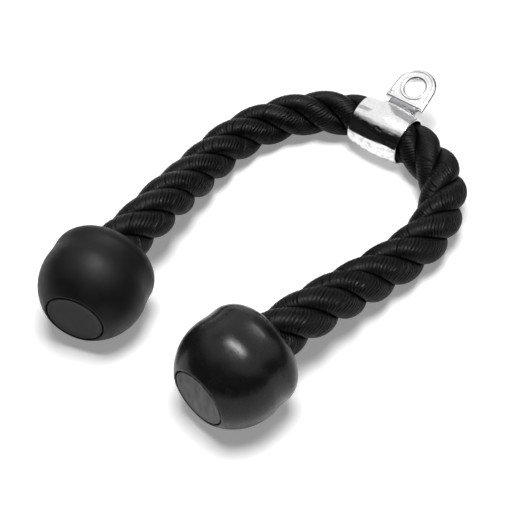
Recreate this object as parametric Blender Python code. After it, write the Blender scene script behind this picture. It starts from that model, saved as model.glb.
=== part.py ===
"""Triceps rope attachment for a cable machine.

A short rope of three laid strands is folded in a U through a steel eye sleeve, and a rubber
end is held on each of its cut ends by a ferrule and a washer under a cap. The object lies on
the floor as it was put down: the sleeve runs along X, the eye points to +Y and the two arms
come back towards -Y. Metres, +Z up, with the origin on the floor under the middle.
"""

import math

import bmesh
import bpy
import numpy as np
from mathutils import Matrix, Vector

# Fits shared by all pieces
CLEARANCE = 0.0003
CUT_OVERRUN = 0.004
FLOOR_GAP = 0.0004

# Rope
ROPE_RADIUS = 0.0169
STRAND_COUNT = 3
STRAND_GAP = 0.0005
STRAND_ORBIT_SHARE = 0.44
LAY_LENGTH = 0.0843
LAY_TURN_DEG = 60.0
RINGS_PER_TURN = 12
STRAND_SIDES = 8
BEND_REACH = 0.040

# Sleeve, pressed down on the rope at its mouths and wider in its middle by the swell
SLEEVE_WALL = 0.0015
SLEEVE_LENGTH = 0.0435
SLEEVE_SWELL = 0.0023
SLEEVE_LIP_ROUND = 0.0007
SLEEVE_ASIDE = 0.0013
SLEEVE_FORWARD = 0.1191

# Eye plate, welded to the sleeve by its foot
EYE_TILT_DEG = 25.0
EYE_SHIFT = 0.0011
EYE_THICKNESS = 0.0065
EYE_STANDOFF = 0.0041
EYE_BASE_HALF_WIDTH = 0.0173
EYE_CROWN_RADIUS = 0.0164
EYE_HOLE_RISE = 0.0159
EYE_HOLE_RADIUS = 0.00775
EYE_HOLE_FLARE = 0.0016
EYE_EDGE_ROUND = 0.0024
FOOT_SHOULDER = 0.0050
FOOT_INSET = 0.0005
FOOT_SINK = 0.0012
FOOT_DEPTH = 0.0020
WELD_TOE_DEG = 24.0
WELD_TOE_THICKNESS = 0.0007

# Rubber end
STOP_RADIUS = 0.0352
STOP_LENGTH = 0.0570
STOP_FACE_RIM = 0.0010
STOP_WAIST_DIP = 0.0005
STOP_SHOULDER_LENGTH = 0.0140
STOP_SHOULDER_SHARE = 0.88
STOP_MOUTH_ROUND = 0.0010

# What holds the rubber end on the rope
FERRULE_WALL = 0.0020
FERRULE_LENGTH = 0.0120
FERRULE_ROUND = 0.0006
CRIMP_DEPTH = 0.0006
CRIMP_WIDTH = 0.0040
WASHER_THICKNESS = 0.0015
CAP_THICKNESS = 0.0025
CAP_DEPTH = 0.0075
CAP_SKIRT = 0.0016
CAP_ROUND = 0.0007
ROPE_END_INSET = 0.0010

# Facets of round forms
TURN_STEPS = 40
SLEEVE_STEPS = 44
SMALL_STEPS = 32
ROUND_POINTS = 4
LIP_STEPS = 2
SWELL_STEPS = 6

# Where each arm's centreline runs, from the sleeve's mouth to the rubber end's mouth. A row
# is the way out from the sleeve's mouth, the way back from the sleeve's axis, and the share
# of the climb from the floor to the rubber end's axis.
LEFT_ROUTE = (
    (0.0210, 0.0082, 0.186),
    (0.0378, 0.0219, 0.135),
    (0.0504, 0.0405, 0.069),
    (0.0588, 0.0609, 0.018),
    (0.0623, 0.0827, 0.0),
    (0.0616, 0.1051, 0.02),
    (0.0584, 0.1272, 0.15),
    (0.0539, 0.1495, 0.40),
    (0.0491, 0.1714, 0.69),
    (0.0441, 0.1934, 0.88),
    (0.0379, 0.2311, 1.0),
)
RIGHT_ROUTE = (
    (0.0227, 0.0067, 0.186),
    (0.0410, 0.0180, 0.133),
    (0.0533, 0.0360, 0.067),
    (0.0603, 0.0567, 0.017),
    (0.0623, 0.0791, 0.0),
    (0.0592, 0.1017, 0.01),
    (0.0554, 0.1240, 0.11),
    (0.0522, 0.1461, 0.36),
    (0.0493, 0.1680, 0.65),
    (0.0466, 0.1895, 0.87),
    (0.0419, 0.2218, 1.0),
)
# Which way each rubber end points along the floor, from +X towards +Y
LEFT_HEADING_DEG = -68.8
RIGHT_HEADING_DEG = -95.1

# Sizes that follow from those above
BORE_RADIUS = ROPE_RADIUS + CLEARANCE
SLEEVE_RADIUS = BORE_RADIUS + SLEEVE_WALL
SLEEVE_SIDE_HALF = SLEEVE_LENGTH / 2 - SLEEVE_LIP_ROUND
BELLY_RADIUS = SLEEVE_RADIUS + SLEEVE_SWELL
LYING_HEIGHT = ROPE_RADIUS + FLOOR_GAP
FERRULE_RADIUS = BORE_RADIUS + FERRULE_WALL
POCKET_RADIUS = FERRULE_RADIUS + CLEARANCE
CAP_RADIUS = POCKET_RADIUS - CLEARANCE
FERRULE_DEPTH = CAP_DEPTH + CLEARANCE
WASHER_DEPTH = FERRULE_DEPTH + FERRULE_LENGTH + CLEARANCE
POCKET_DEPTH = WASHER_DEPTH + WASHER_THICKNESS + CLEARANCE
FACE_RADIUS = POCKET_RADIUS + STOP_FACE_RIM
ROPE_IN_STOP = STOP_LENGTH - FERRULE_DEPTH - ROPE_END_INSET
SLEEVE_CENTRE = Vector((SLEEVE_ASIDE, SLEEVE_FORWARD, BELLY_RADIUS))


def material(name, colour, roughness, metallic):
    """A Principled material of one plain colour."""
    made = bpy.data.materials.new(name)
    made.use_nodes = True
    shader = made.node_tree.nodes["Principled BSDF"]
    shader.inputs["Base Color"].default_value = (*colour, 1.0)
    shader.inputs["Roughness"].default_value = roughness
    shader.inputs["Metallic"].default_value = metallic
    return made


def add_object(name, mesh, finish, place=None):
    """Puts a mesh in the scene as a named object of one material."""
    made = bpy.data.objects.new(name, mesh)
    mesh.materials.append(finish)
    bpy.context.scene.collection.objects.link(made)
    if place is not None:
        made.matrix_world = place
    return made


def closed_mesh(name, bm, crease_deg=35.0):
    """Turns an edited mesh into a smooth-shaded one whose faces point out."""
    bmesh.ops.recalc_face_normals(bm, faces=bm.faces)
    mesh = bpy.data.meshes.new(name)
    bm.to_mesh(mesh)
    bm.free()
    mesh.shade_smooth()
    mesh.set_sharp_from_angle(angle=math.radians(crease_deg))
    return mesh


def arc(centre, radii, start_deg, end_deg, count):
    """Points on an ellipse's arc in the (radius, height) plane, both ends among them."""
    angles = [math.radians(start_deg + (end_deg - start_deg) * i / count) for i in range(count + 1)]
    return [(centre[0] + radii[0] * math.cos(a), centre[1] + radii[1] * math.sin(a)) for a in angles]


def turned(name, outline, steps):
    """A mesh turned about Z from an outline of (radius, height) points.

    The outline is a ring's closed section or, where it starts and ends on the axis, a solid's.
    """
    bm = bmesh.new()
    verts = [bm.verts.new((radius, 0.0, height)) for radius, height in outline]
    on_axis = outline[0][0] == 0 and outline[-1][0] == 0
    pairs = list(zip(verts, verts[1:])) + ([] if on_axis else [(verts[-1], verts[0])])
    edges = [bm.edges.new(pair) for pair in pairs]
    bmesh.ops.spin(
        bm,
        geom=verts + edges,
        cent=(0, 0, 0),
        axis=(0, 0, 1),
        angle=2 * math.pi,
        steps=steps,
        use_merge=True,
    )
    bmesh.ops.remove_doubles(bm, verts=bm.verts, dist=CLEARANCE / 100)
    return closed_mesh(name, bm)


def spline_through(points, first_way, last_way, spacing):
    """A smooth curve through the points that leaves and arrives along the given directions.

    It is a cubic spline over the distances between the points, sampled about every `spacing`.
    """
    points = np.array(points, float)
    knots = np.r_[0.0, np.cumsum(np.linalg.norm(np.diff(points, axis=0), axis=1))]
    spans = np.diff(knots)
    slopes = np.diff(points, axis=0) / spans[:, None]
    system = np.eye(len(points))
    known = np.array([first_way, *np.zeros((len(points) - 2, 3)), last_way], float)
    for i in range(1, len(points) - 1):
        system[i, i - 1] = spans[i]
        system[i, i] = 2 * (spans[i - 1] + spans[i])
        system[i, i + 1] = spans[i - 1]
        known[i] = 3 * (spans[i] * slopes[i - 1] + spans[i - 1] * slopes[i])
    ways = np.linalg.solve(system, known)
    at = np.linspace(0.0, knots[-1], int(knots[-1] / spacing) + 1)
    span = np.clip(np.searchsorted(knots, at, side="right") - 1, 0, len(spans) - 1)
    width = spans[span][:, None]
    t = (at - knots[span])[:, None] / width
    return (
        (2 * t**3 - 3 * t**2 + 1) * points[span]
        + (t**3 - 2 * t**2 + t) * width * ways[span]
        + (3 * t**2 - 2 * t**3) * points[span + 1]
        + (t**3 - t**2) * width * ways[span + 1]
    )


def heading(degrees):
    """The level direction that lies this far from +X towards +Y."""
    angle = math.radians(degrees)
    return np.array((math.cos(angle), math.sin(angle), 0.0))


def arm_points(route, side, way_in):
    """One arm's centreline from the middle of the sleeve to the rope's cut end.

    `side` is -1 for the left arm and 1 for the right one.
    """
    mouth = np.array(SLEEVE_CENTRE) + np.array((side * SLEEVE_LENGTH / 2, 0.0, 0.0))
    climb = STOP_RADIUS - LYING_HEIGHT
    points = [mouth]
    for out, back, climb_share in route:
        height = LYING_HEIGHT + climb * climb_share
        points.append(np.array((mouth[0] + side * out, mouth[1] - back, height)))
    spacing = LAY_LENGTH / RINGS_PER_TURN / 4
    free = spline_through(points, (side, 0.0, 0.0), way_in, spacing)
    return np.vstack([SLEEVE_CENTRE, free, free[-1] + way_in * ROPE_IN_STOP])


class Centreline:
    """The rope's middle line, measured along its length from the left cut end.

    `middle` is how far along it the middle of the sleeve lies.
    """

    def __init__(self, left, right):
        self.points = np.vstack([left[::-1], right[1:]])
        spans = np.linalg.norm(np.diff(self.points, axis=0), axis=1)
        self.reach = np.r_[0.0, np.cumsum(spans)]
        self.middle = self.reach[len(left) - 1]

    def at(self, distance):
        return np.array([np.interp(distance, self.reach, self.points[:, i]) for i in range(3)])

    def way(self, distance):
        """The direction along the rope, to the right cut end."""
        step = LAY_LENGTH / RINGS_PER_TURN / 2
        low = max(distance - step, 0.0)
        high = min(distance + step, self.reach[-1])
        along = self.at(high) - self.at(low)
        return along / np.linalg.norm(along)


def strand_section():
    """A strand's section in the rope's own cross-section, as (outward, around) points.

    A strand is round, and the cross-section cuts it at the slant of its lay, so its outside is
    an ellipse. Inside, the strands press each other flat along the walls of their wedges.
    """
    half = math.pi / STRAND_COUNT
    orbit = ROPE_RADIUS * STRAND_ORBIT_SHARE
    across = ROPE_RADIUS - orbit
    along = across * math.hypot(1.0, 2 * math.pi * orbit / LAY_LENGTH)
    reach = Vector((across * math.sin(half), -along * math.cos(half)))
    wall = STRAND_GAP / 2 - orbit * math.sin(half)
    edge = math.atan2(reach.y, reach.x) + math.acos(wall / reach.length)
    edge_deg = math.degrees(edge)
    outside = arc((orbit, 0.0), (across, along), -edge_deg, edge_deg, STRAND_SIDES - 2)
    return [*outside, (STRAND_GAP / 2 / math.sin(half), 0.0)]


def strand(name, line, start, end, number, finish):
    """One strand between two distances along the rope, cut square to the rope at both."""
    section = strand_section()
    count = math.ceil((end - start) / (LAY_LENGTH / RINGS_PER_TURN))
    bm = bmesh.new()
    rings = []
    for distance in np.linspace(start, end, count + 1):
        way = line.way(distance)
        side = np.cross(way, (0.0, 0.0, 1.0))
        side /= np.linalg.norm(side)
        up = np.cross(side, way)
        turn = 2 * math.pi * ((distance - line.middle) / LAY_LENGTH + number / STRAND_COUNT)
        turn += math.radians(LAY_TURN_DEG)
        outward = math.cos(turn) * up + math.sin(turn) * side
        around = math.cos(turn) * side - math.sin(turn) * up
        at = line.at(distance)
        rings.append([bm.verts.new(at + outward * out + around * off) for out, off in section])
    for near, far in zip(rings, rings[1:]):
        for i in range(len(section)):
            j = (i + 1) % len(section)
            # Both of a strand's walls are split from the rope's middle, so neighbours stay parallel
            if j:
                bm.faces.new((near[i], near[j], far[i]))
                bm.faces.new((near[j], far[j], far[i]))
            else:
                bm.faces.new((near[i], near[j], far[j]))
                bm.faces.new((near[i], far[j], far[i]))
    bm.faces.new(rings[0])
    bm.faces.new(rings[-1])
    made = add_object(name, closed_mesh(name, bm, crease_deg=60.0), finish)
    return made


def rope(line, left_bend, right_bend, finish):
    """Every strand in its three stretches, parted where the arms swing."""
    gap = CLEARANCE / 2
    stretches = {
        "left": (0.0, left_bend - gap),
        "centre": (left_bend + gap, right_bend - gap),
        "right": (right_bend + gap, line.reach[-1]),
    }
    made = {}
    for stretch, (start, end) in stretches.items():
        made[stretch] = [
            strand(f"strand_{number + 1}_{stretch}", line, start, end, number, finish)
            for number in range(STRAND_COUNT)
        ]
    return made


def swollen_side(radius):
    """The sleeve's side between its lips, as (radius, height) points from one mouth to the other."""
    heights = [SLEEVE_SIDE_HALF * (2 * i / SWELL_STEPS - 1) for i in range(SWELL_STEPS + 1)]
    return [(radius + SLEEVE_SWELL * (1 - (h / SLEEVE_SIDE_HALF) ** 2), h) for h in heights]


def sleeve_place():
    """Where the sleeve's own frame lies: its origin in its middle and Z along it."""
    return Matrix.Translation(SLEEVE_CENTRE) @ Matrix.Rotation(math.pi / 2, 4, "Y")


def sleeve(finish):
    """The steel tube that the rope is folded through, with rounded lips at both mouths."""
    lip = (SLEEVE_LIP_ROUND, SLEEVE_LIP_ROUND)
    outer, inner = SLEEVE_RADIUS - SLEEVE_LIP_ROUND, BORE_RADIUS + SLEEVE_LIP_ROUND
    end = SLEEVE_SIDE_HALF
    outline = [
        *arc((outer, end), lip, 0, 90, LIP_STEPS),
        *arc((inner, end), lip, 90, 180, LIP_STEPS),
        *swollen_side(BORE_RADIUS)[-2:0:-1],
        *arc((inner, -end), lip, 180, 270, LIP_STEPS),
        *arc((outer, -end), lip, 270, 360, LIP_STEPS),
        *swollen_side(SLEEVE_RADIUS)[1:-1],
    ]
    return add_object("sleeve", turned("sleeve", outline, SLEEVE_STEPS), finish, sleeve_place())


def prism(name, outline, depth, to_point):
    """A flat outline extruded by `depth`; to_point gives an outline point's place at a depth."""
    bm = bmesh.new()
    face = bm.faces.new([bm.verts.new(to_point(point, -depth / 2)) for point in outline])
    grown = bmesh.ops.extrude_face_region(bm, geom=[face])["geom"]
    moved = [item for item in grown if isinstance(item, bmesh.types.BMVert)]
    shift = Vector(to_point((0, 0), depth / 2)) - Vector(to_point((0, 0), -depth / 2))
    bmesh.ops.translate(bm, verts=moved, vec=shift)
    return bm


def plate_outline(base):
    """The eye's tombstone outline: a wide base, tapered sides and a round crown."""
    hole = base + EYE_HOLE_RISE
    corner = Vector((EYE_BASE_HALF_WIDTH, -EYE_HOLE_RISE))
    touch = math.atan2(corner.y, corner.x) + math.acos(EYE_CROWN_RADIUS / corner.length)
    touch_deg = math.degrees(touch)
    crown = arc((0, hole), (EYE_CROWN_RADIUS, EYE_CROWN_RADIUS), touch_deg, 180 - touch_deg, 14)
    return [(-EYE_BASE_HALF_WIDTH, base), (EYE_BASE_HALF_WIDTH, base), *crown]


def foot_outline(base):
    """The foot's section across the sleeve, with a hollow weld each side.

    It reaches into the tube, which its saddle is then cut from.
    """
    seat = BELLY_RADIUS + CLEARANCE
    half = EYE_THICKNESS / 2 - FOOT_INSET
    toe = seat + WELD_TOE_THICKNESS
    angle = math.radians(WELD_TOE_DEG)
    start = Vector((toe * math.sin(angle), toe * math.cos(angle)))
    bend = Vector((half + WELD_TOE_THICKNESS, toe))
    end = Vector((half, base))
    weld = []
    for i in range(ROUND_POINTS + 1):
        t = i / ROUND_POINTS
        weld.append(tuple(start * (1 - t) ** 2 + bend * (2 * t * (1 - t)) + end * t**2))
    right = [*weld, (half, base + FOOT_SINK)]
    left = [(-across, up) for across, up in reversed(right)]
    deep = BELLY_RADIUS - FOOT_DEPTH
    saddle = arc((0, 0), (deep, deep), 90 + WELD_TOE_DEG, 90 - WELD_TOE_DEG, 2 * ROUND_POINTS)
    return [*right, *left, *saddle]


def helper(name, mesh, place):
    """A shape that only serves a Boolean: drawn as wire, and left out of a render."""
    made = bpy.data.objects.new(name, mesh)
    bpy.context.scene.collection.objects.link(made)
    made.matrix_world = place
    made.hide_render = True
    made.display_type = "WIRE"
    return made


def boolean(target, other, operation):
    modifier = target.modifiers.new(other.name, "BOOLEAN")
    modifier.object = other
    modifier.operation = operation
    modifier.solver = "EXACT"


def eye_plate(finish):
    """The forged eye with its hole, on a narrower foot that is welded along the sleeve."""
    base = BELLY_RADIUS + EYE_STANDOFF
    bm = prism("eye", plate_outline(base), EYE_THICKNESS, lambda p, y: (p[0], y, p[1]))
    rim = [
        edge
        for edge in bm.edges
        if edge.verts[0].co.y * edge.verts[1].co.y > 0 and max(v.co.z for v in edge.verts) > base
    ]
    bmesh.ops.bevel(
        bm, geom=rim, offset=EYE_EDGE_ROUND, segments=3, profile=0.5, affect="EDGES"
    )
    lean = Matrix.Rotation(math.radians(EYE_TILT_DEG - 90), 4, "X")
    shifted = SLEEVE_CENTRE + Vector((EYE_SHIFT, 0, 0))
    place = Matrix.Translation(shifted) @ lean
    plate = add_object("eye_plate", closed_mesh("eye_plate", bm), finish, place)

    foot_width = 2 * (EYE_BASE_HALF_WIDTH - FOOT_SHOULDER)
    foot = prism("foot", foot_outline(base), foot_width, lambda p, x: (x, p[0], p[1]))
    boolean(plate, helper("eye_foot", closed_mesh("eye_foot", foot), place), "UNION")
    tube = [(0, -SLEEVE_SIDE_HALF), *swollen_side(SLEEVE_RADIUS + CLEARANCE), (0, SLEEVE_SIDE_HALF)]
    seat = turned("eye_seat", tube, SLEEVE_STEPS)
    boolean(plate, helper("eye_seat", seat, sleeve_place()), "DIFFERENCE")

    face = EYE_THICKNESS / 2
    flare = (EYE_HOLE_FLARE, EYE_HOLE_FLARE)
    wide = EYE_HOLE_RADIUS + EYE_HOLE_FLARE
    outline = [
        (0, face + CUT_OVERRUN),
        (wide, face + CUT_OVERRUN),
        *arc((wide, face - EYE_HOLE_FLARE), flare, 90, 180, ROUND_POINTS),
        *arc((wide, EYE_HOLE_FLARE - face), flare, 180, 270, ROUND_POINTS),
        (wide, -face - CUT_OVERRUN),
        (0, -face - CUT_OVERRUN),
    ]
    centre = Vector((0, 0, base + EYE_HOLE_RISE))
    drill = place @ Matrix.Translation(centre) @ Matrix.Rotation(math.pi / 2, 4, "X")
    boolean(plate, helper("eye_drill", turned("eye_drill", outline, TURN_STEPS), drill), "DIFFERENCE")
    return plate


def rubber_end_outline():
    """A ball's front, a faintly waisted side and a round shoulder, bored for the rope.

    Heights run from the cap's face to the mouth on the rope's side.
    """
    ball = math.sqrt(STOP_RADIUS**2 - FACE_RADIUS**2)
    start_deg = -math.degrees(math.atan2(ball, FACE_RADIUS))
    shoulder = STOP_LENGTH - STOP_SHOULDER_LENGTH
    side = STOP_RADIUS - STOP_WAIST_DIP
    lip = BORE_RADIUS + STOP_MOUTH_ROUND
    depth = (side - lip) * STOP_SHOULDER_SHARE
    return [
        *arc((0, ball), (STOP_RADIUS, STOP_RADIUS), start_deg, 0, 7),
        (side, (ball + shoulder) / 2),
        *arc(
            (side - depth, shoulder),
            (depth, STOP_SHOULDER_LENGTH),
            0,
            90,
            6,
        ),
        *arc(
            (lip, STOP_LENGTH - STOP_MOUTH_ROUND),
            (STOP_MOUTH_ROUND, STOP_MOUTH_ROUND),
            90,
            180,
            2,
        ),
        (BORE_RADIUS, POCKET_DEPTH),
        (POCKET_RADIUS, POCKET_DEPTH),
        (POCKET_RADIUS, 0),
    ]


def end_cap_outline():
    """A disc with a rounded rim and a short skirt that plugs the pocket."""
    inner = CAP_RADIUS - CAP_SKIRT
    return [
        (0, 0),
        *arc((CAP_RADIUS - CAP_ROUND, CAP_ROUND), (CAP_ROUND, CAP_ROUND), -90, 0, 3),
        (CAP_RADIUS, CAP_DEPTH),
        (inner, CAP_DEPTH),
        (inner, CAP_THICKNESS),
        (0, CAP_THICKNESS),
    ]


def ferrule_outline():
    """A ring pressed on the rope's cut end, with the groove that the press leaves round it."""
    low, high = FERRULE_DEPTH, FERRULE_DEPTH + FERRULE_LENGTH
    edge = FERRULE_RADIUS - FERRULE_ROUND
    middle = (low + high) / 2
    groove = FERRULE_RADIUS - CRIMP_DEPTH
    return [
        (BORE_RADIUS, low),
        (edge, low),
        (FERRULE_RADIUS, low + FERRULE_ROUND),
        (FERRULE_RADIUS, middle - CRIMP_WIDTH / 2),
        (groove, middle - CRIMP_WIDTH / 4),
        (groove, middle + CRIMP_WIDTH / 4),
        (FERRULE_RADIUS, middle + CRIMP_WIDTH / 2),
        (FERRULE_RADIUS, high - FERRULE_ROUND),
        (edge, high),
        (BORE_RADIUS, high),
    ]


def washer_outline():
    """A flat ring between the ferrule and the pocket's floor."""
    low, high = WASHER_DEPTH, WASHER_DEPTH + WASHER_THICKNESS
    outer = POCKET_RADIUS - CLEARANCE
    return [(BORE_RADIUS, low), (outer, low), (outer, high), (BORE_RADIUS, high)]


def end_place(mouth, way_in):
    """Where a rubber end's own frame lies: its origin in the cap's face, +Z towards the rope."""
    turn = Vector(-way_in).to_track_quat("Z", "Y").to_matrix().to_4x4()
    return Matrix.Translation(Vector(mouth + way_in * STOP_LENGTH)) @ turn


def carrier(name, place, size):
    """An empty on a joint's axis, which carries the pieces that move about it."""
    made = bpy.data.objects.new(name, None)
    made.empty_display_size = size
    bpy.context.scene.collection.objects.link(made)
    made.matrix_world = place
    return made


def carry(parent, pieces):
    """Parents pieces to an empty without moving them."""
    bpy.context.view_layer.update()
    for piece in pieces:
        piece.parent = parent
        piece.matrix_parent_inverse = parent.matrix_world.inverted()


def rope_end(side, mouth, way_in, finishes):
    """Everything on one cut end. Returns what stays with the rope and what turns on it."""
    place = end_place(mouth, way_in)
    parts = {
        "rope_ferrule": (ferrule_outline(), SMALL_STEPS, "zinc"),
        "end_washer": (washer_outline(), SMALL_STEPS, "zinc"),
        "rubber_end": (rubber_end_outline(), TURN_STEPS, "rubber"),
        "end_cap": (end_cap_outline(), TURN_STEPS, "cap"),
    }
    made = {}
    for name, (outline, steps, finish) in parts.items():
        full = f"{name}_{side}"
        made[name] = add_object(full, turned(full, outline, steps), finishes[finish], place)
    turner = carrier(f"turn_axis_{side}", place, STOP_RADIUS)
    carry(turner, [made["rubber_end"], made["end_cap"]])
    return [made["rope_ferrule"], made["end_washer"], turner]


def main():
    for old in list(bpy.data.objects):
        bpy.data.objects.remove(old, do_unlink=True)

    finishes = {
        "rope": material("black nylon rope", (0.03, 0.03, 0.032), 0.8, 0.0),
        "chrome": material("chromed steel", (0.82, 0.82, 0.84), 0.12, 1.0),
        "rubber": material("grey-black rubber", (0.075, 0.075, 0.078), 0.45, 0.0),
        "cap": material("grey cap plastic", (0.16, 0.16, 0.165), 0.35, 0.0),
        "zinc": material("zinc-plated steel", (0.62, 0.63, 0.65), 0.35, 1.0),
    }

    left_in, right_in = heading(LEFT_HEADING_DEG), heading(RIGHT_HEADING_DEG)
    left = arm_points(LEFT_ROUTE, -1, left_in)
    right = arm_points(RIGHT_ROUTE, 1, right_in)
    line = Centreline(left, right)
    bend_reach = SLEEVE_LENGTH / 2 + BEND_REACH
    left_bend, right_bend = line.middle - bend_reach, line.middle + bend_reach

    strands = rope(line, left_bend, right_bend, finishes["rope"])
    sleeve(finishes["chrome"])
    eye_plate(finishes["chrome"])
    ends = {
        "left": (left[-2], left_in, left_bend),
        "right": (right[-2], right_in, right_bend),
    }
    for side, (mouth, way_in, bend) in ends.items():
        held = rope_end(side, mouth, way_in, finishes)
        pivot = Matrix.Translation(Vector(line.at(bend)))
        carry(carrier(f"swing_axis_{side}", pivot, ROPE_RADIUS), strands[side] + held)
        face = mouth + way_in * STOP_LENGTH
        print(side, "swing axis at", line.at(bend).round(5), "cap face at", face.round(5))
    print("rope length", round(line.reach[-1], 4), "middle at", round(line.middle, 4))


if __name__ == "__main__":
    main()
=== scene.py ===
"""Triceps rope attachment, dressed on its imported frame.

A short black rope of three laid strands is folded through a chromed sleeve with a forged eye, and
a moulded rubber end closes each arm. Everything is in metres, in the frame of the CAD: the sleeve
runs along X, the eye points to +Y and the arms come back towards -Y over the floor at Z = 0.
"""

import logging
import math
from dataclasses import dataclass, field
from enum import Enum
from typing import Any, Mapping, Sequence

import bmesh
import bpy
import numpy as np
from bpy.types import ID, Material, Mesh, Node, NodeSocket, NodeTree, Object, World
from mathutils import Matrix, Vector


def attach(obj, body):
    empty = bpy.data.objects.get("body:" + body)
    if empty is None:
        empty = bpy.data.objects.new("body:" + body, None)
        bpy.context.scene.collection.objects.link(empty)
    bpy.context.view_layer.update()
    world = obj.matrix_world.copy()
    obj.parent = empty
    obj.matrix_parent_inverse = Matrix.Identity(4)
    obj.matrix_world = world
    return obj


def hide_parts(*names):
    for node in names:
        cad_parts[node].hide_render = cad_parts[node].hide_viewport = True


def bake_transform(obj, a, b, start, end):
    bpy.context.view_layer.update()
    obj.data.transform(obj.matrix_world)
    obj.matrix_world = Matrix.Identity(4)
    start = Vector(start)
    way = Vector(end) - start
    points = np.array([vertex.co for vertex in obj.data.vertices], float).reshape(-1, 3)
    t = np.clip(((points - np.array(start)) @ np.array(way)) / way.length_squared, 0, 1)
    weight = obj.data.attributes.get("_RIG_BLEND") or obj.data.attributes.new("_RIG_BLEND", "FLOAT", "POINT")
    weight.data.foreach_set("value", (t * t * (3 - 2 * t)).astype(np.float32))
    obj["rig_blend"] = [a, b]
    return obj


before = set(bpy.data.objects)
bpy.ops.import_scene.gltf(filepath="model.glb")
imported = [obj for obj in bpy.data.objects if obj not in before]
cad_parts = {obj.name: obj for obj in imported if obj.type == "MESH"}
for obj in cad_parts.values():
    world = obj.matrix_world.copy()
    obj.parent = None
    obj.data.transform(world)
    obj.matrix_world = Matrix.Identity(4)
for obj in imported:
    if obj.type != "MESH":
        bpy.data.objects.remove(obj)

logging.basicConfig(level=logging.INFO, format="%(message)s")
log = logging.getLogger("rope_attachment")

Point = tuple[float, float]
Place = tuple[float, float, float]
Sockets = dict[str, NodeSocket]

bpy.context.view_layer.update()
MM = 0.001
TURN = 2 * math.pi
WHITE = "#ffffff"
# Points that lie closer together than this are one point.
MERGE_DISTANCE = 0.002 * MM
# Most of a noise texture's values lie between these two.
NOISE_RANGE = (0.3, 0.7)
# Its mean in colours, taken off where the noise moves points.
NOISE_MEAN = (0.5, 0.5, 0.5)

# The measures that two classes share, as the CAD has them.
SLEEVE_CENTRE: Place = (0.0013, 0.1191, 0.0210)
SLEEVE_LENGTH = 0.0435
END_LENGTH = 0.0570
BORE = 0.0172


class Side(Enum):
    """The two arms, as seen from the camera: each one's sign along X."""

    LEFT = -1
    RIGHT = 1

    @property
    def word(self) -> str:
        """The side's name as the CAD nodes and bodies spell it."""
        return self.name.lower()


# Node tools


def linear(hex_colour: str) -> tuple[float, float, float, float]:
    """Turns an sRGB hex colour to linear RGBA.

    Args:
        hex_colour: six hex digits after a hash.

    Returns:
        The linear colour with full alpha.
    """
    digits = hex_colour.lstrip("#")
    parts = [int(digits[i : i + 2], 16) / 255 for i in (0, 2, 4)]
    red, green, blue = (
        part / 12.92 if part <= 0.04045 else ((part + 0.055) / 1.055) ** 2.4 for part in parts
    )
    return red, green, blue, 1.0


def add_node(
    tree: NodeTree,
    kind: str,
    inputs: Mapping[str | int, Any] | None = None,
    **settings: Any,
) -> Node:
    """Adds a node with its settings, its values and the links into it.

    Args:
        tree: the node tree that gets the node.
        kind: the node's type.
        inputs: by socket name or number, a plain value, a socket or a node whose first live
            output is linked.
        **settings: the node's own properties.

    Returns:
        The new node.
    """
    node = tree.nodes.new(kind)
    for key, value in settings.items():
        setattr(node, key, value)
    for key, value in (inputs or {}).items():
        if isinstance(value, Node):
            value = next(socket for socket in value.outputs if socket.enabled)
        if isinstance(value, NodeSocket):
            tree.links.new(value, node.inputs[key])
        else:
            node.inputs[key].default_value = value
    return node


def calculate(tree: NodeTree, operation: str, *values: Any) -> Node:
    """Adds a math node with its inputs in order."""
    return add_node(tree, "ShaderNodeMath", dict(enumerate(values)), operation=operation)


def vector(tree: NodeTree, operation: str, *values: Any, **named: Any) -> Node:
    """Adds a vector math node with its inputs in order or by name."""
    inputs = {**dict(enumerate(values)), **named}
    return add_node(tree, "ShaderNodeVectorMath", inputs, operation=operation)


def map_range(
    tree: NodeTree, value: Any, low: float, high: float, to_low: Any = 0.0, to_high: Any = 1.0
) -> NodeSocket:
    """Maps a value from one range to another, without leaving that one."""
    ends = {"From Min": low, "From Max": high, "To Min": to_low, "To Max": to_high}
    return add_node(tree, "ShaderNodeMapRange", {"Value": value, **ends}).outputs[0]


def noise(
    tree: NodeTree, where: Any, patch: float, detail: float, roughness: float = 0.5
) -> NodeSocket:
    """Adds a noise texture whose patches have a real size, in the unit of the coordinates."""
    inputs = {"Vector": where, "Scale": 1 / patch, "Detail": detail, "Roughness": roughness}
    return add_node(tree, "ShaderNodeTexNoise", inputs).outputs[0]


def mix(tree: NodeTree, share: Any, first: str, second: str) -> NodeSocket:
    """Mixes two hex colours, of which the second one has the given share."""
    inputs = {0: share, 6: linear(first), 7: linear(second)}
    return add_node(tree, "ShaderNodeMix", inputs, data_type="RGBA").outputs[2]


def relief(
    tree: NodeTree, height: Any, strength: float, depth_mm: float, **more: Any
) -> NodeSocket:
    """Adds a bump node of a real depth, whose other inputs go by name."""
    inputs = {"Height": height, "Strength": strength, "Distance": depth_mm * MM, **more}
    return add_node(tree, "ShaderNodeBump", inputs).outputs[0]


def own_place(tree: NodeTree) -> NodeSocket:
    """The object's own coordinates, which are metres in the frame of the CAD."""
    return add_node(tree, "ShaderNodeTexCoord").outputs["Object"]


def bare_tree(owner: Material | World) -> NodeTree:
    """Turns on a material's or world's nodes and empties its tree.

    Args:
        owner: the material or world.

    Returns:
        The empty tree.
    """
    owner.use_nodes = True
    owner.node_tree.nodes.clear()
    return owner.node_tree


# Mesh tools


def add_object(name: str, data: ID) -> Object:
    """Puts a new object in the scene.

    Args:
        name: the object's name.
        data: its mesh, curve, lamp or camera.

    Returns:
        The object.
    """
    made = bpy.data.objects.new(name, data)
    bpy.context.scene.collection.objects.link(made)
    return made


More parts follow.
